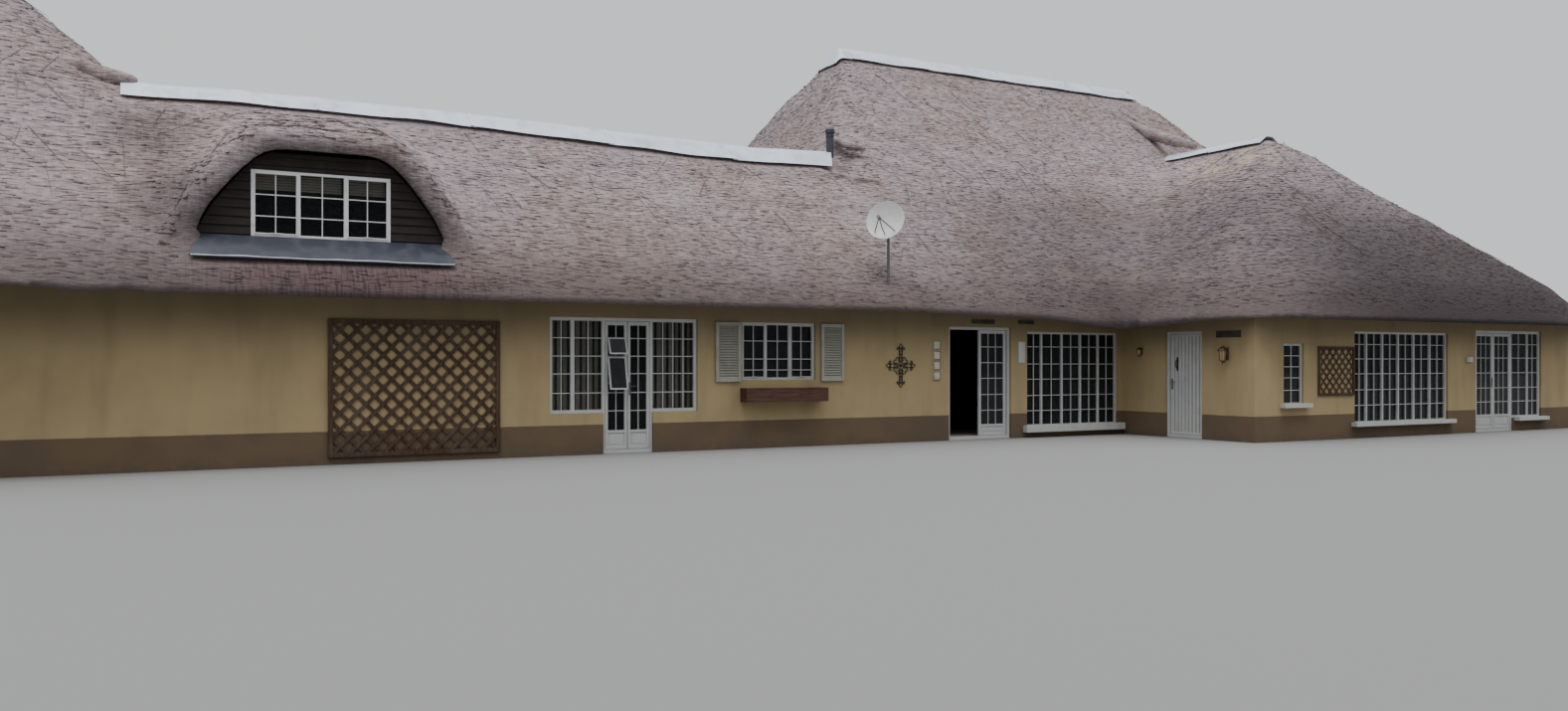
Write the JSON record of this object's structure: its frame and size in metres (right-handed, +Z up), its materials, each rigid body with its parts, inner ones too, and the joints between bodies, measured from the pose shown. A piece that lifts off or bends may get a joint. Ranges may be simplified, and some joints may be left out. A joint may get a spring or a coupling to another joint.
{
  "type": "thatched cottage",
  "caption": "Long single-storey thatched cottage with a loft dormer, cream plastered walls, white steel windows and doors, and metal ridge caps.",
  "frame": {"origin": "centre of the footprint of the roofs at ground level", "axes": "+X runs along the house to the right as seen from the garden front, +Y into the house away from the garden, +Z up"},
  "size_m": [35.4, 16.34, 8.6353],
  "materials": {
    "plaster": "matt cream-yellow plaster over a brown dado band",
    "thatch": "weathered grey-brown reed thatch, matt and fibrous",
    "ridge_metal": "pale galvanised sheet, satin with dull streaks",
    "white_steel": "white gloss paint, slightly dirty",
    "window_glass": "clear window glass, dark behind",
    "brown_timber": "brown stained timber, matt",
    "dark_boards": "dark brown lapped boards, matt",
    "slate_blue_apron": "dark blue-grey paint, dusty",
    "sage_shutter": "grey-green paint, matt",
    "black_iron": "black painted wrought iron",
    "floor_screed": "smooth grey-brown screed",
    "grey_metal": "dull grey metal"
  },
  "bodies": {
    "house": {"front_wall_left": "plaster", "patio_lintel": "plaster", "front_wall_centre": "plaster", "front_door_lintel": "plaster", "front_wall_right": "plaster", "side_door_lintel": "plaster", "wing_front_wall": "plaster", "wing_door_lintel": "plaster", "wing_front_wall_end": "plaster", "rear_walls_right": "plaster", "rear_walls_left": "plaster", "left_wing_thatch": "thatch", "main_thatch": "thatch", "tall_thatch": "thatch", "right_wing_thatch": "thatch", "left_wing_ridge_cap": "ridge_metal", "main_ridge_cap": "ridge_metal", "tall_ridge_cap": "ridge_metal", "right_wing_ridge_cap": "ridge_metal", "dormer_window_frame": "white_steel", "patio_screen_frame": "white_steel", "shuttered_window_frame": "white_steel", "big_window_frame": "white_steel", "small_window_frame": "white_steel", "wide_window_frame": "white_steel", "wing_door_frame": "white_steel", "rear_window_frame": "white_steel", "range_rear_window_frame": "white_steel", "front_door_frame": "white_steel", "side_door_frame": "white_steel", "dormer_window_glass": "window_glass", "shuttered_window_glass": "window_glass", "big_window_glass": "window_glass", "wide_window_glass": "window_glass", "loft_floor": "brown_timber", "window_box": "brown_timber", "trellis_left": "brown_timber", "trellis_right": "brown_timber", "dormer_boards": "dark_boards", "dormer_apron": "slate_blue_apron", "shutter_left": "sage_shutter", "shutter_right": "sage_shutter", "iron_cross": "black_iron", "wall_lantern_small": "black_iron", "wall_lantern_large": "black_iron", "ground_floor": "floor_screed", "flue_pipe": "grey_metal", "satellite_dish": "grey_metal"},
    "patio_leaf_left": {"patio_door_left": "white_steel"},
    "patio_leaf_right": {"patio_door_right": "white_steel"},
    "front_leaf_left": {"front_door_left": "white_steel"},
    "front_leaf_right": {"front_door_right": "white_steel"},
    "side_leaf": {"side_door": "white_steel"},
    "wing_leaf_left": {"wing_door_left": "white_steel"},
    "wing_leaf_right": {"wing_door_right": "white_steel"}
  },
  "joints": [
    {"name": "patio_door_left_swing", "type": "hinge", "parent": "house", "child": "patio_leaf_left", "pos_m": [-3.864, -4.388, 1], "axis": [0, 0, 1], "range_deg": [-90, 0]},
    {"name": "patio_door_right_swing", "type": "hinge", "parent": "house", "child": "patio_leaf_right", "pos_m": [-3.136, -4.388, 1], "axis": [0, 0, 1], "range_deg": [0, 90]},
    {"name": "front_door_left_swing", "type": "hinge", "parent": "house", "child": "front_leaf_left", "pos_m": [2.726, -4.3, 1], "axis": [0, 0, 1], "range_deg": [-90, 0]},
    {"name": "front_door_right_swing", "type": "hinge", "parent": "house", "child": "front_leaf_right", "pos_m": [4.044, -4.3, 1], "axis": [0, 0, 1], "range_deg": [-90, 0]},
    {"name": "side_door_swing", "type": "hinge", "parent": "house", "child": "side_leaf", "pos_m": [7.07, -6.344, 1], "axis": [0, 0, 1], "range_deg": [-90, 0]},
    {"name": "wing_door_left_swing", "type": "hinge", "parent": "house", "child": "wing_leaf_left", "pos_m": [13.526, -7.528, 1], "axis": [0, 0, 1], "range_deg": [-90, 0]},
    {"name": "wing_door_right_swing", "type": "hinge", "parent": "house", "child": "wing_leaf_right", "pos_m": [14.739, -7.528, 1], "axis": [0, 0, 1], "range_deg": [0, 90]}
  ]
}
